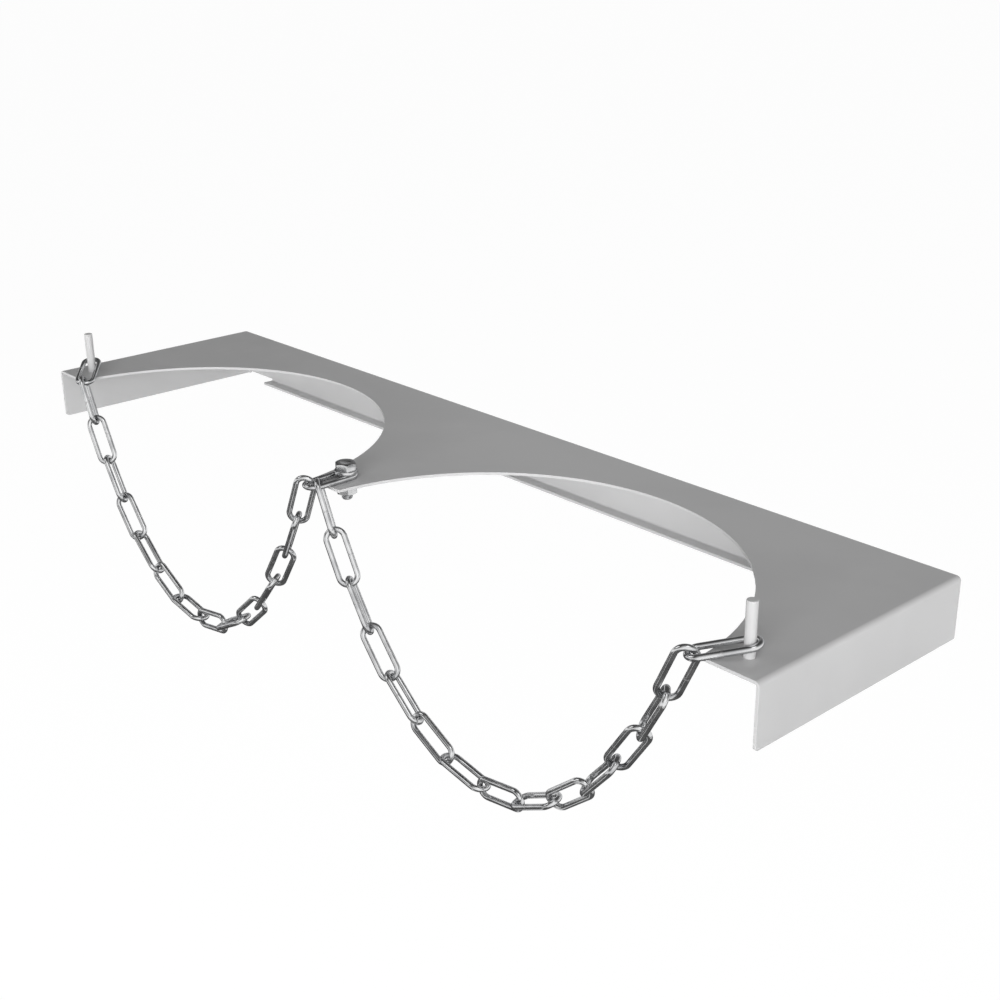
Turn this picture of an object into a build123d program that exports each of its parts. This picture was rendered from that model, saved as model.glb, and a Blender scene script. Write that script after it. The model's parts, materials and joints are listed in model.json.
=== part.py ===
"""Wall bracket for two gas cylinders, side by side.

One folded sheet-steel bracket has two half-round cut-outs, open to the front. A steel pin stands near each
front corner, and an M6 bolt sits in the tongue between the cut-outs. A short link is clamped under the bolt
head and reaches past the tongue. From it one chain hangs to each pin, where an end link drops over the pin.

Frame, in millimetres: the origin is on the wall face, on the bracket's middle plane and half-way up the side
flanges. +X runs along the wall, +Y points into the wall and +Z is up.
"""

import os
from math import cos, hypot, pi, radians, sin, sqrt, tan

from build123d import *

# ---------------------------------------------------------------- bracket: one folded sheet
cutout_diameter = 240.0  # takes a 229 mm cylinder
tongue_width = 22.0  # between the two cut-outs, where the tongue is narrowest
horn_width = 29.0  # a cut-out's side to the side flange's outer face
bracket_depth = 140.0  # wall face to front edge
sheet = 1.5
side_flange_height = 30.0  # top face to bottom edge
lip_drop = 1.0  # the lip's underside below the side flanges' bottom edges
rear_end_rise = 1.5  # where it has no lip, the rear flange ends this far above those edges
lip_reach = 8.5  # wall face to the lip's front edge
lip_end_inset = 30.0  # the lip stops this far from each side flange's outer face
inside_bend = 1.0  # inner radius of every fold
flange_corner = 2.0  # rounding of the side flanges' lower corners
cutout_ahead = 8.0  # the cut-outs' centres lie this far in front of the front edge
tongue_setback = 3.5  # the tongue ends this far behind the front edge
tip_rounding = 1.0  # rounding of the tongue's and the horns' front corners

# ---------------------------------------------------------------- fixing holes in the rear flange
fixing_hole_diameter = 8.5
fixing_hole_inset = 16.0  # hole centre to the side flange's outer face
fixing_hole_drop = 15.0  # hole centre below the top face

# ---------------------------------------------------------------- pins
pin_diameter = 5.0
pin_height = 24.5  # above the top face
pin_edge_distance = 13.0  # pin axis to the side of the cut-out
pin_front_inset = 13.8  # pin axis to the front edge
pin_hole_gap = 0.05  # all round, in the sheet
pin_chamfer = 0.4
weld_leg = 1.2  # fillet weld under the sheet

# ---------------------------------------------------------------- M6 bolt, washers and nut
bolt_diameter = 5.9
bolt_length = 16.0  # under the head
bolt_front_inset = 17.0  # bolt axis to the front edge
bolt_hole_diameter = 6.6
bolt_tip_chamfer = 0.7
hex_across_flats = 10.0
head_height = 4.0
nut_height = 5.0
thread_gap = 0.03  # all round, between the bolt and the nut's bore
washer_diameter = 12.0
washer_bore = 6.4
washer_thickness = 1.6

# ---------------------------------------------------------------- chain: long-link, 3 x 26
wire_diameter = 3.0
link_inner_length = 26.0
link_inner_width = 6.6
wire_sides = 10  # the round wire has ten flats
bow_steps = 8  # straight steps round each half-round bow
hanging_links = 14  # in each chain, between its two held links
link_gap = 0.1  # between a link's wire and its neighbour's
hook_gap = 0.2  # where a chain's end hooks a held link, on which it swings
seat_gap = 0.05  # between a held link and what it lies on

# how the held links lie
pin_link_yaw = 50.0  # each end link points this far in from straight ahead
pin_link_tilt = 14.0  # and lies over the plate's edge, its rear end raised by this angle
pin_hook_angle = 0.0  # the chain hooks it this far to the inner side from its front bow's middle
left_hook_angle = -60.0  # where the left chain hooks round the bolt link's front bow, from its middle
right_hook_angle = 85.0  # and the right chain

# how the chains turn about their own run, against the vertical plane in which they hang
pin_end_roll = -42.0
bolt_end_roll = -42.0
chain_twist = -90.0  # from one end to the other beside these, most of it at the bottom

# ---------------------------------------------------------------- values that follow from them
bracket_width = 2 * (cutout_diameter + horn_width) + tongue_width  # over the side flanges
rear_flange_height = side_flange_height + lip_drop  # top face to the underside of the lip
rear_end_height = side_flange_height - rear_end_rise
plate_top = side_flange_height / 2
plate_bottom = plate_top - sheet
outside_bend = inside_bend + sheet
front_edge = -bracket_depth
tongue_front = front_edge + tongue_setback
cutout_radius = cutout_diameter / 2
cutout_y = front_edge - cutout_ahead
cutout_x = (cutout_diameter + tongue_width) / 2
pin_x = cutout_x + cutout_radius + pin_edge_distance
pin_y = front_edge + pin_front_inset
fixing_x = bracket_width / 2 - fixing_hole_inset
fixing_z = plate_top - fixing_hole_drop
bolt_y = front_edge + bolt_front_inset

wire_radius = wire_diameter / 2
bow_radius = (link_inner_width + wire_diameter) / 2
link_half = (link_inner_length + wire_diameter) / 2  # link centre to the wire's centre at the end of a bow
bow_centre = link_half - bow_radius


# ---------------------------------------------------------------- bracket
def tray(width, depth, height, bend):
    """A block with rounded top, side and rear folds; its top face is at Z = 0 and its rear face at Y = 0."""
    block = Box(width, depth, height, align=(Align.CENTER, Align.MAX, Align.MAX))
    along_x = block.edges().filter_by(Axis.X).group_by(Axis.Z)[-1].sort_by(Axis.Y)[-1:]
    along_y = block.edges().filter_by(Axis.Y).group_by(Axis.Z)[-1]
    upright = block.edges().filter_by(Axis.Z).group_by(Axis.Y)[-1]
    return fillet([*along_x, *along_y, *upright], bend)


def block_between(low, high):
    """A plain block from its lowest corner to its highest."""
    size = [b - a for a, b in zip(low, high)]
    return Pos(*low) * Box(*size, align=(Align.MIN, Align.MIN, Align.MIN))


def folded_tray():
    """The top plate with both side flanges and the rear flange, as bent."""
    overlong = 10.0  # the hollow runs this far past the open front and bottom
    outer = tray(bracket_width, bracket_depth, rear_flange_height, outside_bend)
    inner = tray(
        bracket_width - 2 * sheet,
        bracket_depth - sheet + overlong,
        rear_flange_height - sheet + overlong,
        inside_bend,
    )
    return Pos(0, 0, plate_top) * (outer - Pos(0, -sheet, -sheet) * inner)


def trim_flanges(tray_body):
    """The side flanges end above the lip, and so do the ends of the rear flange."""
    half = bracket_width / 2
    below = plate_top - rear_flange_height - 1
    side_bottom = plate_top - side_flange_height
    end_bottom = plate_top - rear_end_height
    for side in (-1, 1):
        outer_x, inner_x = side * (half + 1), side * (half - outside_bend)
        low_x, high_x = sorted((outer_x, inner_x))
        tray_body -= block_between((low_x, front_edge - 1, below), (high_x, 1, side_bottom))
        lip_end = side * (half - lip_end_inset)
        low_x, high_x = sorted((inner_x, lip_end))
        tray_body -= block_between((low_x, -outside_bend, below), (high_x, 1, end_bottom))
    return tray_body


def lip():
    """The stiffening lip along the foot of the rear flange, folded forward."""
    foot = plate_top - rear_flange_height
    overlap = outside_bend + 3.0  # shared height with the flange that it grows from
    profile = Polyline(
        (0, foot + overlap),
        (0, foot),
        (-lip_reach, foot),
        (-lip_reach, foot + sheet),
        (-sheet, foot + sheet),
        (-sheet, foot + overlap),
        close=True,
    )
    face = make_face(Plane.YZ * profile)
    outer_fold = face.vertices().filter_by(lambda v: abs(v.Z - foot) < 1e-6 and abs(v.Y) < 1e-6)
    face = fillet(outer_fold, outside_bend)
    inner_fold = face.vertices().filter_by(
        lambda v: abs(v.Z - foot - sheet) < 1e-6 and abs(v.Y + sheet) < 1e-6
    )
    face = fillet(inner_fold, inside_bend)
    return extrude(face, bracket_width / 2 - lip_end_inset, both=True)


def make_bracket():
    body = trim_flanges(folded_tray())
    foot = plate_top - rear_flange_height
    body -= block_between(
        (lip_end_inset - bracket_width / 2, -outside_bend, foot - 1),
        (bracket_width / 2 - lip_end_inset, 1, foot + outside_bend + 1),
    )
    body += lip()
    through = dict(height=4 * sheet, align=(Align.CENTER, Align.CENTER, Align.CENTER))
    for side in (-1, 1):
        body -= Pos(side * cutout_x, cutout_y, plate_top) * Cylinder(cutout_radius, **through)
        body -= Pos(side * pin_x, pin_y, plate_top) * Cylinder(pin_diameter / 2 + pin_hole_gap, **through)
        wall_hole = Rot(90, 0, 0) * Cylinder(fixing_hole_diameter / 2, **through)
        body -= Pos(side * fixing_x, 0, fixing_z) * wall_hole
    body -= Pos(0, bolt_y, plate_top) * Cylinder(bolt_hole_diameter / 2, **through)
    neck = cutout_x / 2
    body -= block_between((-neck, front_edge - 1, plate_bottom - 1), (neck, tongue_front, plate_top + 1))
    plate_corners = body.edges().filter_by(Axis.Z).filter_by(
        lambda e: abs(e.length - sheet) < 1e-3
        and e.center().Y < tongue_front + 0.01
        and abs(e.center().X) < bracket_width / 2 - 1
    )
    body = fillet(plate_corners, tip_rounding)
    flange_corners = body.edges().filter_by(Axis.X).filter_by(
        lambda e: abs(e.length - sheet) < 1e-3
        and e.center().Y < front_edge + 0.01
        and e.center().Z < plate_top - side_flange_height + 0.01
    )
    return fillet(flange_corners, flange_corner)


# ---------------------------------------------------------------- pins and bolt
def make_pin(side):
    """A round steel pin through the sheet, with its fillet weld on the underside."""
    radius = pin_diameter / 2
    half_profile = Polyline(
        (0, plate_bottom),
        (radius + weld_leg, plate_bottom),
        (radius, plate_bottom - weld_leg),
        (0, plate_bottom - weld_leg),
        close=True,
    )
    weld = revolve(make_face(Plane.XZ * half_profile), Axis.Z)
    shank = Pos(0, 0, plate_bottom) * Cylinder(
        radius, sheet + pin_height, align=(Align.CENTER, Align.CENTER, Align.MIN)
    )
    shank = chamfer(shank.edges().group_by(Axis.Z)[-1], pin_chamfer)
    return Pos(side * pin_x, pin_y, 0) * (shank + weld)


def hex_prism(height, bottom, chamfer_ends):
    """A hexagon with its corners turned off at the top, and at the bottom too on a nut."""
    corner = hex_across_flats / 2 / cos(pi / 6)
    prism = extrude(RegularPolygon(corner, 6), height)
    slope = tan(radians(30)) * (corner - hex_across_flats / 2) * 1.6
    turned = Cylinder(corner, height, align=(Align.CENTER, Align.CENTER, Align.MIN))
    ends = turned.edges().filter_by(GeomType.CIRCLE).sort_by(Axis.Z)
    ends = ends if chamfer_ends else ends[-1:]
    turned = chamfer(ends, slope, (corner - hex_across_flats / 2) * 1.6)
    return Pos(0, 0, bottom) * (prism & turned)


link_bed = plate_top + seat_gap
washer_seat = link_bed + 2 * wire_radius + seat_gap
head_seat = washer_seat + washer_thickness
bolt_tip = head_seat - bolt_length
lower_washer_top = plate_bottom
nut_top = lower_washer_top - washer_thickness


def make_bolt():
    shank = Pos(0, 0, bolt_tip) * Cylinder(
        bolt_diameter / 2, bolt_length, align=(Align.CENTER, Align.CENTER, Align.MIN)
    )
    shank = chamfer(shank.edges().group_by(Axis.Z)[0], bolt_tip_chamfer)
    return Pos(0, bolt_y, 0) * (shank + hex_prism(head_height, head_seat, chamfer_ends=False))


def make_washer(bottom):
    ring = Cylinder(washer_diameter / 2, washer_thickness) - Cylinder(washer_bore / 2, washer_thickness)
    return Pos(0, bolt_y, bottom + washer_thickness / 2) * ring


def make_nut():
    body = hex_prism(nut_height, nut_top - nut_height, chamfer_ends=True)
    bore = Cylinder(bolt_diameter / 2 + thread_gap, 2 * nut_height)
    return Pos(0, bolt_y, 0) * (body - Pos(0, 0, nut_top - nut_height / 2) * bore)


# ---------------------------------------------------------------- chain links
def make_link_blank():
    """One link about the origin: long in X, wide in Y."""
    start = (0, bow_radius, 0)
    corners = [start]
    for end in (1, -1):
        for step in range(bow_steps + 1):
            angle = pi / 2 - pi * step / bow_steps - (0 if end == 1 else pi)
            corners.append((end * bow_centre + bow_radius * cos(angle), bow_radius * sin(angle), 0))
    section = Plane(origin=start, z_dir=(1, 0, 0)) * RegularPolygon(wire_radius, wire_sides)
    return sweep(section, path=Polyline(*corners, close=True), transition=Transition.RIGHT)


def place_link(blank, centre, along, across):
    """The blank moved to centre, its length along one direction and its width along the other."""
    return Plane(origin=centre, x_dir=along, z_dir=along.cross(across)) * blank


def bolt_link_pose():
    """Flat on the tongue, straight ahead, pulled forward until its rear bow meets the bolt."""
    rear_bow_centre = bolt_y + bolt_diameter / 2 + seat_gap - link_inner_width / 2
    centre = Vector(0, rear_bow_centre - bow_centre, link_bed + wire_radius)
    return centre, Vector(0, -1, 0), Vector(1, 0, 0)


def run_to_edge(start, heading, side):
    """How far a bar runs from start before it leaves the plate, at the front edge or at the cut-out."""
    to_front = (front_edge - start.Y) / heading.Y
    from_centre = start - Vector(side * cutout_x, cutout_y, 0)
    closing = from_centre.dot(heading)
    inside = closing * closing - from_centre.dot(from_centre) + cutout_radius * cutout_radius
    if inside < 0 or -closing - sqrt(inside) < 0:
        return to_front
    return min(to_front, -closing - sqrt(inside))


def pin_link_pose(side):
    """Over the pin, pulled in until its rear bow meets it, and tilted over the plate's edge."""
    tilt, yaw = radians(pin_link_tilt), radians(pin_link_yaw)
    heading = Vector(-side * sin(yaw), -cos(yaw), 0)
    across = Vector(-side * cos(yaw), sin(yaw), 0)  # to the inner side
    pin = Vector(side * pin_x, pin_y, 0)
    bars = (pin + across * bow_radius, pin - across * bow_radius)
    support = max(run_to_edge(bar, heading, side) for bar in bars)
    reach = pin_diameter / 2 + wire_radius + 2 * seat_gap
    height = plate_top + (wire_radius + seat_gap) / cos(tilt) + (support + reach) * tan(tilt)
    rear = pin - heading * reach + Vector(0, 0, height)
    along = heading * cos(tilt) - Vector(0, 0, sin(tilt))
    return rear + along * link_half, along, across


def bow_point(pose, angle):
    """The wire's centre on a held link's front bow, at an angle from the bow's middle."""
    centre, along, across = pose
    return centre + along * (bow_centre + bow_radius * cos(radians(angle))) + across * (
        bow_radius * sin(radians(angle))
    )


# ---------------------------------------------------------------- how a chain hangs
def hanging_run(lengths, step, middle):
    """Horizontal and vertical reach of links whose slopes rise by an equal step, as hanging links' do."""
    across, up = 0.0, 0.0
    for number, length in enumerate(lengths):
        slope = (number - middle) * step
        across += length / hypot(1, slope)
        up += length * slope / hypot(1, slope)
    return across, up


def hanging_slopes(lengths, span, rise):
    """The slope of each link of a chain that hangs across a span and ends a given rise higher."""
    low_step, high_step = 0.0, 10.0
    for _ in range(60):
        step = (low_step + high_step) / 2
        low_middle, high_middle = 0.0, len(lengths) - 1.0
        for _ in range(60):
            middle = (low_middle + high_middle) / 2
            if hanging_run(lengths, step, middle)[1] > rise:
                low_middle = middle
            else:
                high_middle = middle
        if hanging_run(lengths, step, middle)[0] > span:
            low_step = step
        else:
            high_step = step
    return [(number - middle) * step for number in range(len(lengths))]


def bow_wire(pose, end):
    """The wire's centre line round one end of a link, with the halves of its bars that lead to it."""
    centre, along, across = pose
    points = [centre + across * bow_radius]
    for step in range(bow_steps + 1):
        angle = pi / 2 - pi * step / bow_steps
        offset = end * (bow_centre + bow_radius * cos(angle))
        points.append(centre + along * offset + across * (bow_radius * sin(angle)))
    return points + [centre - across * bow_radius]


def segment_distance(p, q, r, s):
    """Shortest distance between two straight pieces of wire."""
    first, second, apart = q - p, s - r, p - r
    a, b, c = first.dot(first), first.dot(second), first.dot(apart)
    e, f = second.dot(second), second.dot(apart)
    spread = a * e - b * b
    t = min(max((b * f - c * e) / spread, 0), 1) if spread > 1e-9 else 0.0
    u = (b * t + f) / e
    if u < 0:
        u, t = 0.0, min(max(-c / a, 0), 1)
    elif u > 1:
        u, t = 1.0, min(max((b - c) / a, 0), 1)
    return (apart + first * t - second * u).length


def wire_distance(one, other):
    """Shortest distance between the centre lines of two bows."""
    return min(
        segment_distance(p, q, r, s) for p, q in zip(one, one[1:]) for r, s in zip(other, other[1:])
    )


def hang_links(start, end, holds, rolls):
    """Centre, along and across of each hanging link; holds are its ends' distances to what holds it."""
    run = Vector(end.X - start.X, end.Y - start.Y, 0)
    forward = run.normalized()
    plane_normal = Vector(0, 0, 1).cross(forward)
    lengths = [2 * link_half - before - after for before, after in holds]
    poses, joint = [], start
    slopes = hanging_slopes(lengths, run.length, end.Z - start.Z)
    for number, (length, slope) in enumerate(zip(lengths, slopes)):
        along = (forward + Vector(0, 0, slope)).normalized()
        centre = joint + along * (link_half - holds[number][0])
        done = number / (hanging_links - 1)
        eased = done * done * (3 - 2 * done)
        roll = radians(rolls[0] + 90.0 * number + (chain_twist + rolls[1] - rolls[0]) * eased)
        sideways = plane_normal.cross(along)
        normal = plane_normal * cos(roll) + sideways * sin(roll)
        poses.append((centre, along, normal.cross(along)))
        joint = joint + along * length
    return poses


def chain_poses(start, end, start_hold, end_hold, rolls):
    """A chain between two held links, from left to right, each wire close to its neighbour's."""
    need = wire_diameter + link_gap
    hook_need = wire_diameter + hook_gap
    contacts = [hook_need, *[need / 2] * (hanging_links - 1), hook_need]
    for _ in range(8):
        holds = list(zip(contacts, contacts[1:]))
        poses = hang_links(start, end, holds, rolls)
        for number in range(1, hanging_links):
            found = wire_distance(bow_wire(poses[number - 1], 1), bow_wire(poses[number], -1))
            contacts[number] += (need - found) / 2
        contacts[0] += hook_need - wire_distance(bow_wire(start_hold, 1), bow_wire(poses[0], -1))
        contacts[-1] += hook_need - wire_distance(bow_wire(poses[-1], 1), bow_wire(end_hold, 1))
    return poses


bolt_link = bolt_link_pose()
left_pin_link = pin_link_pose(-1)
right_pin_link = pin_link_pose(1)
left_ends = bow_point(left_pin_link, pin_hook_angle), bow_point(bolt_link, left_hook_angle)
right_ends = bow_point(bolt_link, right_hook_angle), bow_point(right_pin_link, pin_hook_angle)
left_chain = chain_poses(*left_ends, left_pin_link, bolt_link, (pin_end_roll, bolt_end_roll))
right_chain = chain_poses(*right_ends, bolt_link, right_pin_link, (bolt_end_roll, pin_end_roll))


# ---------------------------------------------------------------- all the pieces
def make_parts():
    parts = {
        "bracket": make_bracket(),
        "left_pin": make_pin(-1),
        "right_pin": make_pin(1),
        "hex_bolt": make_bolt(),
        "upper_washer": make_washer(washer_seat),
        "lower_washer": make_washer(lower_washer_top - washer_thickness),
        "hex_nut": make_nut(),
    }
    blank = make_link_blank()
    parts["bolt_link"] = place_link(blank, *bolt_link)
    parts["left_pin_link"] = place_link(blank, *left_pin_link)
    parts["right_pin_link"] = place_link(blank, *right_pin_link)
    for side, poses in (("left", left_chain), ("right", right_chain)):
        for number, pose in enumerate(poses, 1):
            parts[f"{side}_link_{number:02d}"] = place_link(blank, *pose)
    return parts


os.makedirs("parts", exist_ok=True)
for name, solid in make_parts().items():
    export_step(solid, f"parts/{name}.step")
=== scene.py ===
# %% [markdown]
# # Bracket for two gas cylinders
#
# One folded sheet of steel, painted light grey, holds two gas cylinders in its half-round bays. A chain of
# bright zinc links closes each bay. This lesson dresses the plain CAD model of it, piece by piece. The CAD
# model is the frame: each piece made here takes its place from the node that it stands for, so that nothing
# is ever fitted by eye.

# %% The frame and the tools
import json
from math import cos, pi, radians, sin, tan

import bmesh
import bpy
import numpy as np
from mathutils import Matrix, Vector


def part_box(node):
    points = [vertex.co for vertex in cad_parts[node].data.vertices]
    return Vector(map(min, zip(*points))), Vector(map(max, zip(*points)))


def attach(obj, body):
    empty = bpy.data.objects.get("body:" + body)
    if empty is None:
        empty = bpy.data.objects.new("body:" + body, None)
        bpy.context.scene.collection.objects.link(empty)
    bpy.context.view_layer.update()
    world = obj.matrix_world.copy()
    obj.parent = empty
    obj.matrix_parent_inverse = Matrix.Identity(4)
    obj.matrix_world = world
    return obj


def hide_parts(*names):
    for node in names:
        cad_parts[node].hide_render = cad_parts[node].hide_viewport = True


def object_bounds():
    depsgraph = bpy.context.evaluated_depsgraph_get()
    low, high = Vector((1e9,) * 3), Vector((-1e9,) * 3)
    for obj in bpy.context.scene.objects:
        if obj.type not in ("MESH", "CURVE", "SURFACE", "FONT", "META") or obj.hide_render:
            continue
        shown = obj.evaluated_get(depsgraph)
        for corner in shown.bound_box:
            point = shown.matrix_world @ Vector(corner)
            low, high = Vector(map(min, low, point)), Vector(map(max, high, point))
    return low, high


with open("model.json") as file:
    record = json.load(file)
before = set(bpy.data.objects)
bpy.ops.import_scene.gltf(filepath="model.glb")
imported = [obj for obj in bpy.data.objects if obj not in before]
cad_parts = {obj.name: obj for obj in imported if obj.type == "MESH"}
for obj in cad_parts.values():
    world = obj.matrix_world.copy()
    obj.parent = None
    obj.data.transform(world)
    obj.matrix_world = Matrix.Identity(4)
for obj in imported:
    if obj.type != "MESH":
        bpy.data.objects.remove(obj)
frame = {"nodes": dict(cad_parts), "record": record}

MM = 0.001  # the frame is in metres, and sizes here are easier to read in millimetres
cad_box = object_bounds()
nodes, scene = frame["nodes"], bpy.context.scene
scene.view_settings.view_transform = "Standard"

# %% [markdown]
# ## Camera
#
# The camera stands in front of the right end and looks down on the bracket by about 22 degrees. Its place is
# in millimetres, and its three turns, yaw, pitch and roll, are in degrees. A long lens keeps the far end from
# shrinking.

# %% Camera
CAMERA_PLACE = Vector((575.211, -535.732, 282.969)) * MM
CAMERA_YAW, CAMERA_PITCH, CAMERA_ROLL = radians(-47.969), radians(-21.774), radians(-0.539)
SENSOR, LENS = 36, 52.963  # mm


def camera_turn(yaw, pitch, roll):
    """Rotation of a camera that looks along +Y at yaw 0, upright at roll 0."""
    ahead = Vector((sin(yaw) * cos(pitch), cos(yaw) * cos(pitch), sin(pitch)))
    level = Vector((cos(yaw), -sin(yaw), 0))
    up = level.cross(ahead)
    right = level * cos(roll) + up * sin(roll)
    up = up * cos(roll) - level * sin(roll)
    return Matrix((right, up, -ahead)).transposed()


camera = bpy.data.objects.new("camera", bpy.data.cameras.new("camera"))
scene.collection.objects.link(camera)
camera.data.sensor_width, camera.data.lens = SENSOR, LENS
camera.data.clip_start, camera.data.clip_end = 0.01, 100
camera.matrix_world = Matrix.Translation(CAMERA_PLACE) @ camera_turn(
    CAMERA_YAW, CAMERA_PITCH, CAMERA_ROLL
).to_4x4()
scene.camera = camera
print("camera at", tuple(round(v, 3) for v in CAMERA_PLACE), "m")

# %% [markdown]
# ## Writing node trees as sums
#
# A material is a sum: a colour plus a little noise, a mask times a scratch. Wiring each Math node by hand
# hides that. The small class below wraps one socket, and an ordinary + or * on it adds the Math node. Every
# other node comes from one function, `add`, that takes its type, its settings and what goes into its sockets.
# Both serve the Geometry Nodes too.

# %% A socket that can be added and multiplied
class Term:
    """One output socket, which takes part in sums."""

    def __init__(self, tree, socket):
        self.tree, self.socket = tree, socket

    def math(self, operation, *others, clamp=False):
        """This number, and the others after it, through a Math node."""
        settings = {"operation": operation, "use_clamp": clamp}
        return add(self.tree, "ShaderNodeMath", settings, dict(enumerate((self, *others))))

    def __add__(self, other):
        return self.math("ADD", other)

    def __sub__(self, other):
        return self.math("SUBTRACT", other)

    def __rsub__(self, other):
        return add(self.tree, "ShaderNodeMath", {"operation": "SUBTRACT"}, {0: other, 1: self})

    def __mul__(self, other):
        return self.math("MULTIPLY", other)

    def __truediv__(self, other):
        return self.math("DIVIDE", other)

    __radd__, __rmul__ = __add__, __mul__

    def between(self, low, high):
        """0 below low, 1 above high, and a smooth step from one to the other."""
        settings = {"interpolation_type": "SMOOTHSTEP"}
        return add(self.tree, "ShaderNodeMapRange", settings, {0: self, 1: low, 2: high})

    def clamped(self):
        """The same number, held between 0 and 1."""
        return self.math("ADD", 0.0, clamp=True)


def add(tree, kind, settings=None, sockets=None, out=0):
    """A new node with its settings, then its sockets' values or links. Gives one output as a Term."""
    node = tree.nodes.new(kind)
    for name, value in (settings or {}).items():
        setattr(node, name, value)
    for name, value in (sockets or {}).items():
        if isinstance(value, Term):
            tree.links.new(value.socket, node.inputs[name])
        else:
            node.inputs[name].default_value = value
    return Term(tree, node.outputs[out]) if len(node.outputs) else node


def new_finish(name):
    """An empty material, its tree, and the object's own coordinates."""
    material = bpy.data.materials.new(name)
    material.use_nodes = True
    material.node_tree.nodes.clear()
    tree = material.node_tree
    return material, tree, add(tree, "ShaderNodeTexCoord", out=3)


def noise(tree, place, size_mm, detail=2.0, roughness=0.5):
    """Noise whose blobs are about size_mm across. It runs from 0 to 1 around 0.5."""
    sockets = {"Vector": place, "Scale": 1 / (size_mm * MM), "Detail": detail, "Roughness": roughness}
    return add(tree, "ShaderNodeTexNoise", {"noise_dimensions": "3D"}, sockets)


def mixed(tree, mask, first, second):
    """A colour between two colours."""
    sockets = {0: mask, 6: first, 7: second}
    return add(tree, "ShaderNodeMix", {"data_type": "RGBA"}, sockets, out=2)


def bump(tree, height, depth_mm):
    """A height from 0 to 1 as a bump of depth_mm."""
    return add(tree, "ShaderNodeBump", None, {"Strength": 1.0, "Distance": depth_mm * MM, "Height": height})


def output(tree, shader):
    """The shader as what the material shows."""
    add(tree, "ShaderNodeOutputMaterial", None, {"Surface": shader})


print("helpers for node trees are ready")

# %% [markdown]
# ## Finish: powder coat
#
# The bracket and its pins are coated in light grey powder, baked to a gloss. Such a coat is never quite
# flat: it flows into a fine orange peel, a millimetre or two across. It is also a little thinner in places,
# which shows as a faint change of tone. Both come from noise on the object's own coordinates, so they keep
# their real size on every piece.

# %% Powder coat
COAT_LIGHT, COAT_DARK = (0.6, 0.6, 0.602, 1), (0.568, 0.568, 0.571, 1)
COAT_ROUGHNESS, COAT_IOR = 0.17, 1.5
CLOUD_SIZE, HANDLED_SIZE, PEEL_SIZE, FLECK_SIZE = 60, 18, 1.8, 0.35  # mm across
PEEL_DEPTH = 0.01  # mm


def powder_coat():
    material, tree, place = new_finish("light_grey_powder_coat")
    cloud = noise(tree, place, CLOUD_SIZE, detail=3)
    fleck = noise(tree, place, FLECK_SIZE, detail=2)
    tone = (cloud.between(0.35, 0.65) * 0.8 + fleck * 0.2).clamped()
    peel = noise(tree, place, PEEL_SIZE, detail=1.5)
    handled = noise(tree, place, HANDLED_SIZE, detail=4, roughness=0.65).between(0.45, 0.7)
    shader = add(tree, "ShaderNodeBsdfPrincipled", None, {
        "Base Color": mixed(tree, tone, COAT_DARK, COAT_LIGHT),
        "Roughness": COAT_ROUGHNESS + handled * 0.05 + fleck * 0.02,
        "Normal": bump(tree, peel, PEEL_DEPTH),
        "IOR": COAT_IOR,
    })
    output(tree, shader)
    return material


coat = powder_coat()
print("finish", coat.name)

# %% [markdown]
# ## Finish: bright zinc
#
# The chain and the screw parts are plated with bright zinc. The metal under it is never quite even, so its
# surface wanders a little and its reflections bend and break up. A butt weld joins the ends of each link. Its
# bead is rougher, and the link's mesh carries it as an attribute named `weld`. The bead's colour is the
# plated zinc's. It is kept light and even so that it also paints in the highlight that the bead catches.

# %% Bright zinc
ZINC_LIGHT, ZINC_DARK = (0.78, 0.785, 0.79, 1), (0.56, 0.565, 0.575, 1)
# the weld bead's plated colour, kept light and even so that it also paints in the highlight that the bead
# catches
WELD_TONE_AND_PAINTED_HIGHLIGHT = (0.68, 0.68, 0.685, 1)
ZINC_EDGE = (0.5, 0.5, 0.51, 1)  # tints what the metal mirrors at a shallow angle
CLOUDING_SIZE, WANDER_SIZE, WANDER_DEPTH = 8, 3.2, 0.04  # mm
WIRE_ROUGHNESS, SCREW_ROUGHNESS, WELD_ROUGHNESS = 0.15, 0.16, 0.25  # the weld's comes on top of the wire's


def bright_zinc(name, with_weld, roughness):
    material, tree, place = new_finish(name)
    cloud = noise(tree, place, CLOUDING_SIZE, detail=1)
    tone = cloud.between(0.3, 0.62)
    colour = mixed(tree, tone, ZINC_DARK, ZINC_LIGHT)
    rough = roughness + cloud.between(0.4, 0.75) * 0.08
    wander = noise(tree, place, WANDER_SIZE, detail=1.0)
    if with_weld:
        weld = add(tree, "ShaderNodeAttribute", {"attribute_name": "weld"}, out=2)
        # painted highlight: the bead takes one light colour in place of the wire's clouded tone
        colour = mixed(tree, weld, colour, WELD_TONE_AND_PAINTED_HIGHLIGHT)
        rough = rough + weld * WELD_ROUGHNESS
    shader = add(tree, "ShaderNodeBsdfPrincipled", None, {
        "Base Color": colour,
        "Metallic": 1.0,
        "Roughness": rough.clamped(),
        "Normal": bump(tree, wander, WANDER_DEPTH),
        "Specular Tint": ZINC_EDGE,
    })
    output(tree, shader)
    return material


chain_zinc = bright_zinc("bright_zinc_wire", True, WIRE_ROUGHNESS)
screw_zinc = bright_zinc("bright_zinc_screw", False, SCREW_ROUGHNESS)
print("finishes", chain_zinc.name, "and", screw_zinc.name)

# %% [markdown]
# ## The folded bracket
#
# The CAD solid has the right shape, but every edge of it is a perfect line, and real paint never leaves one.
# A cut edge of sheet steel under powder coat is rounded by about a quarter of a millimetre, and that round is
# what catches the light. So a copy of the CAD mesh is merged, its flat facets are joined, and a Bevel rounds
# its sharp edges. Weighted normals then keep the large faces flat. The mesh could also be drawn again from
# its outline, but the copy can't drift from the frame.

# %% Bracket
EDGE_ROUND, DOUBLES = 0.22, 0.002  # mm
FLAT_ENOUGH, SHARP_EDGE = radians(0.4), radians(50)


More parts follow.
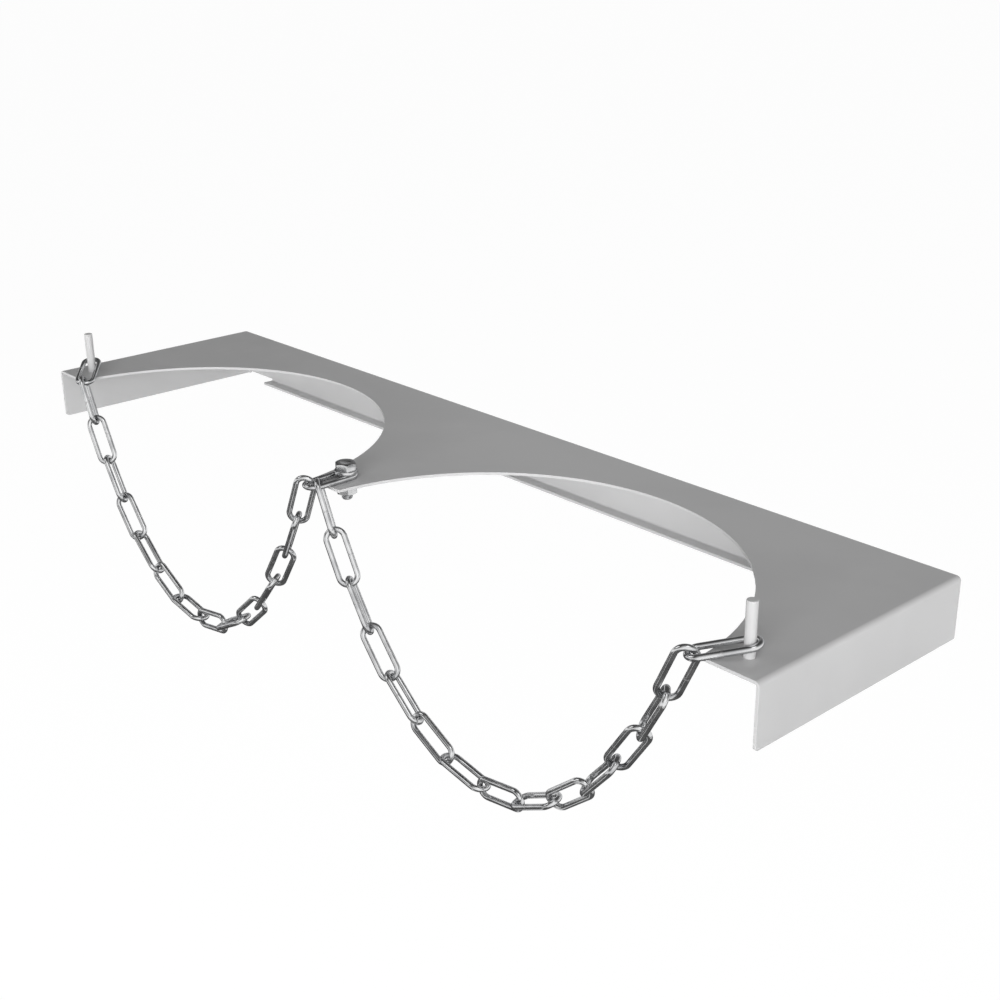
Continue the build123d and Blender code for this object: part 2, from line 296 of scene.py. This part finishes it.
def tidy_copy(node, name):
    """A copy of a CAD node's mesh with its doubles merged and its flat facets joined."""
    piece = bpy.data.objects.new(name, nodes[node].data.copy())
    scene.collection.objects.link(piece)
    bm = bmesh.new()
    bm.from_mesh(piece.data)
    bmesh.ops.remove_doubles(bm, verts=bm.verts, dist=DOUBLES * MM)
    bmesh.ops.dissolve_limit(bm, angle_limit=FLAT_ENOUGH, verts=bm.verts, edges=bm.edges)
    bm.to_mesh(piece.data)
    bm.free()
    return piece


def freeze(piece):
    """The piece with its modifiers made part of its mesh."""
    graph = bpy.context.evaluated_depsgraph_get()
    mesh = bpy.data.meshes.new_from_object(piece.evaluated_get(graph))
    piece.modifiers.clear()
    piece.data = mesh
    mesh.name = piece.name
    return piece


def dress(piece, body, finish, slot, *replaced):
    """Gives a finished piece its material and its body, and hides the nodes that it stands for. The slot is
    not used.
    """
    piece.data.materials.clear()
    piece.data.materials.append(finish)
    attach(piece, body)
    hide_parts(*replaced)
    return piece


def make_bracket():
    piece = tidy_copy("bracket", "folded_bracket")
    rounding = piece.modifiers.new("edge round", "BEVEL")
    rounding.width, rounding.segments = EDGE_ROUND * MM, 3
    rounding.limit_method, rounding.angle_limit = "ANGLE", SHARP_EDGE
    rounding.miter_outer = "MITER_ARC"
    for polygon in piece.data.polygons:
        polygon.use_smooth = True
    weighted = piece.modifiers.new("flat faces stay flat", "WEIGHTED_NORMAL")
    weighted.keep_sharp, weighted.weight = False, 60
    return freeze(piece)


bracket = dress(make_bracket(), "bracket_body", coat, "powder_coat", "bracket")
print("bracket", len(bracket.data.polygons), "faces")

# %% [markdown]
# ## One chain link
#
# A link is a piece of round wire bent into a long ring, with the weld in the middle of one straight side. It
# follows a rule, so Geometry Nodes make it: a rectangle with its corners filleted to half circles is the
# path, and a circle is swept along it. Near the weld the wire gets thicker. A tree with named inputs makes a
# link of any wire and any length. Its last inputs turn it and put it in its place.

# %% The link as a node tree
# The CAD's wire is 3.0 mm thick. This one is 0.1 mm thinner, because the two links that hang side by side on
# the bolt link would touch at 3.0 mm where a chain swings to its end.
WIRE, INNER_LENGTH, INNER_WIDTH = 2.9, 26.1, 6.62  # mm
WIRE_SIDES, PATH_POINTS, BOW_POINTS = 24, 150, 24
BOW_RADIUS = 0.4999  # share of the path's width, a hair under the half that would leave no side between bows
WELD_BULGE, WELD_REACH = 0.22, 0.5  # share of the wire's radius, and mm along the bar
RAGGED_DEPTH, RAGGED_SCALE = 0.6, 1600.0  # mm, and blobs to a metre


def link_tree():
    tree = bpy.data.node_groups.new("chain link", "GeometryNodeTree")
    wanted = [("Wire", "Float"), ("Inner Length", "Float"), ("Inner Width", "Float"), ("Wire Sides", "Int"),
              ("Path Points", "Int"), ("Weld At", "Float"), ("Weld Side", "Float"), ("Weld Bulge", "Float"),
              ("Weld Reach", "Float"), ("Centre", "Vector"), ("Turn", "Vector"), ("Finish", "Material")]
    for name, kind in wanted:
        tree.interface.new_socket(name, in_out="INPUT", socket_type=f"NodeSocket{kind}")
    tree.interface.new_socket("Link", in_out="OUTPUT", socket_type="NodeSocketGeometry")
    inputs = tree.nodes.new("NodeGroupInput")
    given = {name: Term(tree, inputs.outputs[name]) for name, _ in wanted}
    wire, width = given["Wire"], given["Inner Width"] + given["Wire"]

    box = add(tree, "GeometryNodeCurvePrimitiveQuadrilateral", {"mode": "RECTANGLE"},
              {"Width": given["Inner Length"] + wire, "Height": width})
    ring = add(tree, "GeometryNodeFilletCurve", {"mode": "POLY"},
               {"Curve": box, "Count": BOW_POINTS, "Radius": width * BOW_RADIUS})
    ring = add(tree, "GeometryNodeResampleCurve", {"mode": "COUNT"},
               {"Curve": ring, "Count": given["Path Points"]})

    position = add(tree, "GeometryNodeInputPosition")
    x = add(tree, "ShaderNodeSeparateXYZ", None, {0: position})
    y = add(tree, "ShaderNodeSeparateXYZ", None, {0: position}, out=1)
    along = (x - given["Weld At"]) / given["Weld Reach"]
    side = (y * given["Weld Side"]).math("GREATER_THAN", 0.0)
    bead = (along * along * -1.0).math("EXPONENT") * side
    ring = add(tree, "GeometryNodeSetCurveRadius", None,
               {"Curve": ring, "Radius": bead * given["Weld Bulge"] + 1.0})
    ring = add(tree, "GeometryNodeStoreNamedAttribute", {"data_type": "FLOAT", "domain": "POINT"},
               {"Geometry": ring, "Name": "weld", "Value": bead})

    round_wire = add(tree, "GeometryNodeCurvePrimitiveCircle", {"mode": "RADIUS"},
                     {"Resolution": given["Wire Sides"], "Radius": wire / 2.0})
    mesh = add(tree, "GeometryNodeCurveToMesh", None, {"Curve": ring, "Profile Curve": round_wire})
    sockets = {"Vector": position, "Scale": RAGGED_SCALE, "Detail": 2.0}
    ragged = add(tree, "ShaderNodeTexNoise", None, sockets)
    stored = add(tree, "GeometryNodeInputNamedAttribute", {"data_type": "FLOAT"}, {"Name": "weld"})
    lift = (ragged - 0.5) * stored * (RAGGED_DEPTH * MM)
    normal = add(tree, "GeometryNodeInputNormal")
    offset = add(tree, "ShaderNodeVectorMath", {"operation": "SCALE"}, {0: normal, "Scale": lift})
    mesh = add(tree, "GeometryNodeSetPosition", None, {"Geometry": mesh, "Offset": offset})
    mesh = add(tree, "GeometryNodeSetShadeSmooth", None, {"Geometry": mesh})
    mesh = add(tree, "GeometryNodeTransform", None,
               {"Geometry": mesh, "Translation": given["Centre"], "Rotation": given["Turn"]})
    mesh = add(tree, "GeometryNodeRealizeInstances", None, {"Geometry": mesh})
    mesh = add(tree, "GeometryNodeSetMaterial", None, {"Geometry": mesh, "Material": given["Finish"]})
    result = tree.nodes.new("NodeGroupOutput")
    tree.links.new(mesh.socket, result.inputs["Link"])
    return tree


link_maker = link_tree()
print("inputs of a link:", [item.name for item in link_maker.interface.items_tree if item.in_out == "INPUT"])

# %% [markdown]
# ## Where each link hangs
#
# Every CAD link is a body of its own, and its mesh already stands where the link hangs. Its place is read
# from that mesh: the mean of the corners is the centre, the direction in which they spread most is the
# length, and the next is the width. A link made by the tree is then turned to the same three directions.

# %% Reading a link's place
WELD_SCATTER = 2.2  # mm to each side of the bar's middle


def place_of(node):
    """Centre and turn of a CAD link: its length along X, its width along Y."""
    corners = np.array([corner.co for corner in nodes[node].data.vertices], float)
    corners = np.unique(np.round(corners, 7), axis=0)  # loose triangles give each corner many times
    centre = corners.mean(axis=0)
    _, directions = np.linalg.eigh(np.cov((corners - centre).T))
    length, width = Vector(directions[:, 2]), Vector(directions[:, 1])
    if length.z > 0:
        length = -length
    turn = Matrix((length, width, length.cross(width))).transposed()
    return Vector(centre), turn.to_euler()


def make_link(node, number):
    """A wire link in the place of a CAD link. Each link's weld sits a little differently."""
    piece = bpy.data.objects.new(f"{node}_wire", bpy.data.meshes.new(node))
    scene.collection.objects.link(piece)
    maker = piece.modifiers.new("chain link", "NODES")
    maker.node_group = link_maker
    centre, turn = place_of(node)
    wobble = sin(number * 2.4)  # a fixed scatter, from -1 to 1
    values = {
        "Wire": WIRE * MM, "Inner Length": INNER_LENGTH * MM, "Inner Width": INNER_WIDTH * MM,
        "Wire Sides": WIRE_SIDES, "Path Points": PATH_POINTS,
        "Weld At": wobble * WELD_SCATTER * MM, "Weld Side": 1.0 if number % 3 else -1.0,
        "Weld Bulge": WELD_BULGE, "Weld Reach": WELD_REACH * MM,
        "Centre": centre, "Turn": turn, "Finish": chain_zinc,
    }
    for item in link_maker.interface.items_tree:
        if item.in_out == "INPUT":
            maker[item.identifier] = values[item.name]
    return freeze(piece)


link_nodes = [node for node in sorted(nodes) if "link" in node]
bodies = frame["record"]["behaviour"]["bodies"]
body_of_node = {node: body for body, held in bodies.items() for node in held}
for number, node in enumerate(link_nodes):
    dress(make_link(node, number), body_of_node[node], chain_zinc, "zinc_chain", node)

# %% [markdown]
# ## Turned pieces
#
# The pins and the washers are round all the way along, so they are a profile turned about an upright axis.
# The head of the bolt and the nut start as a hexagon bar whose corners are turned off at 30 degrees, which
# leaves an arc on each flat. One function makes them all: it is given rings of points, each with a radius
# that may change with the angle, and skins them from the first ring to the last.

# %% Skinning rings
SEAM = 0.0005 * MM  # corners nearer than this become one


def finish_mesh(bm, name, sharp_angle):
    """The mesh as an object, smooth except across sharp edges, with its faces outwards."""
    bmesh.ops.remove_doubles(bm, verts=bm.verts, dist=SEAM)
    bmesh.ops.recalc_face_normals(bm, faces=bm.faces)
    for face in bm.faces:
        face.smooth = True
    for edge in bm.edges:
        if len(edge.link_faces) == 2:
            edge.smooth = edge.calc_face_angle(0) < radians(sharp_angle)
    mesh = bpy.data.meshes.new(name)
    bm.to_mesh(mesh)
    bm.free()
    piece = bpy.data.objects.new(name, mesh)
    scene.collection.objects.link(piece)
    return piece


def skin(name, box, rings, sides=72, sharp_angle=35):
    """A piece round the upright axis of a box. Each ring is a function from an angle to radius and height."""
    low, high = box
    x, y = (low.x + high.x) / 2, (low.y + high.y) / 2
    bm = bmesh.new()
    loops = []
    for ring in rings:
        points = []
        for step in range(sides):
            angle = 2 * pi * step / sides
            radius, height = ring(angle)
            points.append(bm.verts.new((x + radius * cos(angle), y + radius * sin(angle), height)))
        loops.append(points)
    for lower, upper in zip(loops, loops[1:]):
        for step in range(sides):
            after = (step + 1) % sides
            bm.faces.new((lower[step], lower[after], upper[after], upper[step]))
    return finish_mesh(bm, name, sharp_angle)


def circle(radius, height):
    """A ring with the same radius and height all round."""
    return lambda angle: (radius, height)


def rounded(corners, radii, steps=4):
    """A profile whose corners are rounded. Each corner has a radius, 0 for a sharp one."""
    points = []
    for index, (corner, radius) in enumerate(zip(corners, radii)):
        here = Vector(corner)
        if not radius:
            points.append(tuple(here))
            continue
        before, after = Vector(corners[index - 1]), Vector(corners[(index + 1) % len(corners)])
        start = here + (before - here).normalized() * radius
        end = here + (after - here).normalized() * radius
        for step in range(steps + 1):
            t = step / steps
            points.append(tuple(start * (1 - t) ** 2 + here * (2 * t * (1 - t)) + end * t * t))
    return points


SQUARE = [(0, 0), (1, 0), (1, 1), (0, 1)]
print("a square with rounded corners has", len(rounded(SQUARE, [0.1] * 4)), "points")

# %% [markdown]
# ## Pins
#
# Each pin is a plain rod pushed through the plate, welded below and painted with it. The paint rounds its top
# edge. The weld is a small ring of ripples, so its radius rises and falls round the rod.

# %% Pins
PIN_RADIUS, PIN_EDGE = 2.5, 0.55  # mm
WELD_RIPPLES, RIPPLE_DEPTH = 17, 0.09  # round the pin, and in mm
WELD_HEIGHT, WELD_INSET, WELD_BOW = 1.2, 0.12, 0.22  # mm: height, way in from the CAD's edge, bulge
WELD_RINGS = 7
ROD_END = ((PIN_RADIUS, 0.25), (0.5, 0.1), (0, 0.03))  # mm in from the rod's side, and mm up from its end


def ripple(angle):
    """How far the weld's ripples stand out, at an angle round the pin."""
    return RIPPLE_DEPTH * MM * (0.5 + 0.5 * sin(WELD_RIPPLES * angle + 0.8 * sin(3 * angle)))


def make_pin(node):
    low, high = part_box(node)
    rod, weld_out = PIN_RADIUS * MM, (high.x - low.x) / 2 - WELD_INSET * MM
    foot, plate_bottom = low.z + ROD_END[-1][1] * MM, low.z + WELD_HEIGHT * MM
    rings = [circle(rod - inset * MM, low.z + rise * MM) for inset, rise in ROD_END]
    for step in range(WELD_RINGS):
        t = step / (WELD_RINGS - 1)
        bow = WELD_BOW * MM * sin(pi * t)

        def weld(angle, t=t, bow=bow):
            swell = ripple(angle) * sin(pi * min(t + 0.25, 1)) * 0.8
            return rod + (weld_out - rod) * t + bow + swell, foot + (plate_bottom - foot) * t - bow * 0.6

        rings.append(weld)
    rings.append(circle(rod, plate_bottom))
    top = rounded([(rod, high.z - 2 * MM), (rod, high.z), (0, high.z)], [0, PIN_EDGE * MM, 0], 6)
    rings += [circle(radius, height) for radius, height in top]
    return skin(f"{node}_rod", (low, high), rings)


for node in ("left_pin", "right_pin"):
    dress(make_pin(node), "bracket_body", coat, "powder_coat", node)

# %% [markdown]
# ## Bolt, nut and washers
#
# The bolt is a plain M6 with a forged head, a nut below the plate and a washer on each side. A thread is a
# ridge that climbs one pitch in each turn, so the radius of its surface depends on the height less the share
# of a turn. That rule is all that is needed, and the rings are skinned as before.

# %% Hexagon pieces and the thread
ACROSS_FLATS, HEAD_HEIGHT = 10.0 * MM, 4 * MM
HALF_FLATS = ACROSS_FLATS / 2
CONE_START, CORNER_CUT = HALF_FLATS * 0.955, 0.06 * MM  # radius where the cone begins, and what it takes off
DISH = ((0, 0.12), (2.2, 0.12), (2.5, 0.02), (2.8, 0))  # the head's hollow, in mm from its axis and down
FACE_EDGE, EASE = HALF_FLATS * 0.935, 0.02 * MM  # where the top face ends, and how softly the edges turn
SHANK, PITCH, THREAD_DEPTH, TIP_TAPER = 2.95 * MM, 1.0 * MM, 0.55 * MM, 0.75 * MM
PLAIN_SHANK, ROWS_PER_PITCH = 1.7 * MM, 10
NUT_BORE, NUT_SINK = 2.98 * MM, 0.45 * MM
WASHER_OUTER, WASHER_INNER = 6.0 * MM, 3.2 * MM
WASHER_EDGES = [0.1 * MM, 0.12 * MM, 0.35 * MM, 0.2 * MM]  # inner and outer edge below, then above


def hexagon(angle):
    """Distance from the axis to a hexagon's side."""
    return HALF_FLATS / cos((angle + pi / 6) % (pi / 3) - pi / 6)


def corner_cut(face, sense):
    """The ring where a 30 degree cone cuts a hexagon's sides. Sense is 1 for a top face, -1 for a bottom."""
    def ring(angle):
        radius = min(hexagon(angle), HALF_FLATS / cos(pi / 6) - CORNER_CUT)
        return radius, face - sense * max(radius - CONE_START, 0) * tan(radians(30))

    return ring


def threaded(height, tip):
    """One ring of a thread, which runs out into a taper at the tip."""
    def ring(angle):
        phase = (height / PITCH - angle / (2 * pi)) % 1.0
        valley = (1 - abs(2 * phase - 1)) * THREAD_DEPTH
        taper = max(0.0, 1.0 - (height - tip) / TIP_TAPER) * TIP_TAPER
        return SHANK - max(valley, taper), height

    return ring


def make_head():
    low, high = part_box("hex_bolt")
    seat, tip = high.z - HEAD_HEIGHT, low.z
    cut = corner_cut(high.z, 1)
    rings = [circle(radius * MM, high.z - depth * MM) for radius, depth in DISH]
    rings += [
        circle(FACE_EDGE, high.z),
        circle(CONE_START, high.z - EASE),
        cut,
        lambda angle: (cut(angle)[0] + EASE, cut(angle)[1] - 3 * EASE),
        lambda angle: (cut(angle)[0] + EASE, seat + 5 * EASE),
        lambda angle: (cut(angle)[0] - 4 * EASE, seat),
        circle(SHANK, seat),
        circle(SHANK, seat - PLAIN_SHANK),
    ]
    thread_top = seat - PLAIN_SHANK
    rows = int((thread_top - tip) / PITCH * ROWS_PER_PITCH)
    rings += [threaded(thread_top - (thread_top - tip) * row / rows, tip) for row in range(rows + 1)]
    rings.append(circle(0, tip))
    return skin("bolt_m6", (low, high), rings, sharp_angle=40)


def make_nut():
    low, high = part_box("hex_nut")
    rings = [
        circle(NUT_BORE, high.z - NUT_SINK), circle(NUT_BORE + NUT_SINK, high.z),
        circle(CONE_START, high.z), corner_cut(high.z, 1),
        corner_cut(low.z, -1), circle(CONE_START, low.z),
        circle(NUT_BORE + NUT_SINK, low.z), circle(NUT_BORE, low.z + NUT_SINK),
    ]
    return skin("nut_m6", (low, high), rings + rings[:1])


def make_washer(node):
    low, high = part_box(node)
    corners = [(WASHER_INNER, low.z), (WASHER_OUTER, low.z), (WASHER_OUTER, high.z), (WASHER_INNER, high.z)]
    rings = [circle(radius, height) for radius, height in rounded(corners, WASHER_EDGES)]
    return skin(f"{node}_ring", (low, high), rings + rings[:1], sides=96)


dress(make_head(), "bracket_body", screw_zinc, "zinc_fasteners", "hex_bolt")
dress(make_nut(), "bracket_body", screw_zinc, "zinc_fasteners", "hex_nut")
for node in ("upper_washer", "lower_washer"):
    dress(make_washer(node), "bracket_body", screw_zinc, "zinc_fasteners", node)

# %% [markdown]
# ## Floor, world and lamps
#
# The bracket hangs well above a plain pale floor, and the world is as pale as the floor up to a little above
# the horizon. A painted sheet looks flat when it is lit from all sides alike, so the light comes mostly from
# the front and the right, low down, and the ceiling is dim. Bright metal has no tone of its own and shows the
# room: it needs dark parts there as much as bright ones. A dark card under the bracket gives it some. The key
# lamp is hidden from the metal, because its mirror image would leave a hard white speck on every link.

# %% Floor
FLOOR_DROP = 450  # mm below the bracket
FLOOR_LIT = 0.82  # how pale it is for the light that it throws back on the bracket
FLOOR_GLOW, FLOOR_DIM = 0.94, 0.12  # what the camera and the metal see: a glow, and a little shadow


def flat_sheet(name, half_side, cells):
    """A flat square mesh of the stage."""
    bm = bmesh.new()
    bmesh.ops.create_grid(bm, x_segments=cells, y_segments=cells, size=half_side)
    mesh = bpy.data.meshes.new(name)
    bm.to_mesh(mesh)
    bm.free()
    sheet = bpy.data.objects.new(name, mesh)
    scene.collection.objects.link(sheet)
    return sheet


def floor_finish():
    material, tree, _ = new_finish("pale_floor")
    path = tree.nodes.new("ShaderNodeLightPath")
    names = ("Is Camera Ray", "Is Glossy Ray", "Is Transmission Ray")
    camera_ray, glossy_ray, transmission_ray = (Term(tree, path.outputs[name]) for name in names)
    seen = (camera_ray + glossy_ray + transmission_ray).clamped()
    lit = add(tree, "ShaderNodeBsdfDiffuse", None, {"Color": (FLOOR_LIT, FLOOR_LIT, FLOOR_LIT, 1)})
    glow = add(tree, "ShaderNodeEmission", None, {"Color": (1, 1, 1, 1), "Strength": FLOOR_GLOW})
    dim = add(tree, "ShaderNodeBsdfDiffuse", None, {"Color": (FLOOR_DIM, FLOOR_DIM, FLOOR_DIM, 1)})
    white = add(tree, "ShaderNodeAddShader", None, {0: glow, 1: dim})
    output(tree, add(tree, "ShaderNodeMixShader", None, {0: seen, 1: lit, 2: white}))
    return material


floor_piece = flat_sheet("floor", 30, 12)
floor_piece.location.z = cad_box[0].z - FLOOR_DROP * MM
floor_piece.data.materials.append(floor_finish())
print("floor", FLOOR_DROP, "mm below the bracket")

# %% World
# Parts of the room: the way to each, how nearly one has to look that way for it to begin and to be full, and
# how much light it adds or takes away
BRIGHT_PARTS = {
    "front": ((0.77, -0.62, 0.04), (0.3, 0.97), 0.4),
    "right": ((0.95, 0.3, 0.1), (0.5, 0.98), 0.3),
    "above front": ((0.5, -0.55, 0.67), (0.7, 0.98), 0.45),
}
DARK_PARTS = {
    "left": ((-0.6, -0.78, 0.1), (0.2, 0.95), 0.6),
    "far left": ((-0.90, 0.33, 0.28), (0.92, 0.99), 0.75),
}
WALL_LIGHT, CEILING_LIGHT, HORIZON_LIGHT = 0.6, 0.08, 0.95


def make_world():
    world = bpy.data.worlds.new("studio")
    world.use_nodes = True
    scene.world = world
    tree = world.node_tree
    tree.nodes.clear()
    way = add(tree, "ShaderNodeTexCoord")

    def facing(direction):
        """1 for a ray that runs in a direction, 0 across it."""
        toward = Vector(direction).normalized()
        return add(tree, "ShaderNodeVectorMath", {"operation": "DOT_PRODUCT"}, {0: way, 1: toward}, out=1)

    up = facing((0, 0, 1))
    ceiling = up.between(0.0, 0.7)
    light = (1.0 - ceiling) * WALL_LIGHT + CEILING_LIGHT
    for direction, edge, strength in BRIGHT_PARTS.values():
        light = light + facing(direction).between(*edge) * strength
    for direction, edge, strength in DARK_PARTS.values():
        light = light * (1.0 - facing(direction).between(*edge) * strength)
    horizon = 1.0 - up.between(0.1, 0.2)
    light = light + (HORIZON_LIGHT - light) * horizon
    background = add(tree, "ShaderNodeBackground", None, {"Color": (1, 1, 1, 1), "Strength": light})
    add(tree, "ShaderNodeOutputWorld", None, {"Surface": background})


make_world()
print("world with", len(BRIGHT_PARTS), "bright parts and", len(DARK_PARTS), "dark ones")

# %% Dark card and lamps
CARD_PLACE, CARD_SIZE = (-0.25, -0.45, -0.32), (1.7, 1.9, 1)  # m
CARD_STRIPS = ((0.19, 0.022), (0.44, 0.03), (-0.12, 0.02))  # middle and reach across, as shares of its width
CARD_GLOW, STRIP_GLOW = 0.11, 0.8
MIDDLE, RIGHT_END = (0.0, -0.08, 0), (0.25, -0.1, 0)  # where the lamps point, in m


def make_card():
    """A dark card under the bracket, with light strips, seen only in bright metal."""
    card = flat_sheet("black_flag", 0.5, 4)
    card.scale, card.location = CARD_SIZE, CARD_PLACE
    for ray in ("camera", "diffuse", "transmission", "volume_scatter", "shadow"):
        setattr(card, f"visible_{ray}", False)
    material, tree, place = new_finish("black_flag")
    x = add(tree, "ShaderNodeSeparateXYZ", None, {0: place})
    strips = 0.0
    for middle, reach in CARD_STRIPS:
        strips = (x - middle).math("ABSOLUTE").between(reach, reach * 0.4) + strips
    sockets = {"Color": (1, 1, 1, 1), "Strength": strips * STRIP_GLOW + CARD_GLOW}
    output(tree, add(tree, "ShaderNodeEmission", None, sockets))
    card.data.materials.append(material)


def soft_lamp(name, place, target, size, power):
    """A rectangular lamp of a width and a height in metres, turned to a target."""
    lamp = bpy.data.lights.new(name, "AREA")
    lamp.shape, lamp.energy = "RECTANGLE", power
    lamp.size, lamp.size_y = size
    stand = bpy.data.objects.new(name, lamp)
    scene.collection.objects.link(stand)
    stand.location = place
    stand.rotation_euler = (Vector(target) - Vector(place)).to_track_quat("-Z", "Y").to_euler()
    return stand


make_card()
key = soft_lamp("key_front_right", (1.5, -2.25, 0.42), MIDDLE, (1.65, 0.9), 49)
key.visible_glossy = False
soft_lamp("fill_front_left", (-1.0, -1.2, 1.2), MIDDLE, (0.9, 0.9), 3.4)
soft_lamp("top_right", (0.8, -0.35, 1.2), RIGHT_END, (0.5, 0.5), 1.0)
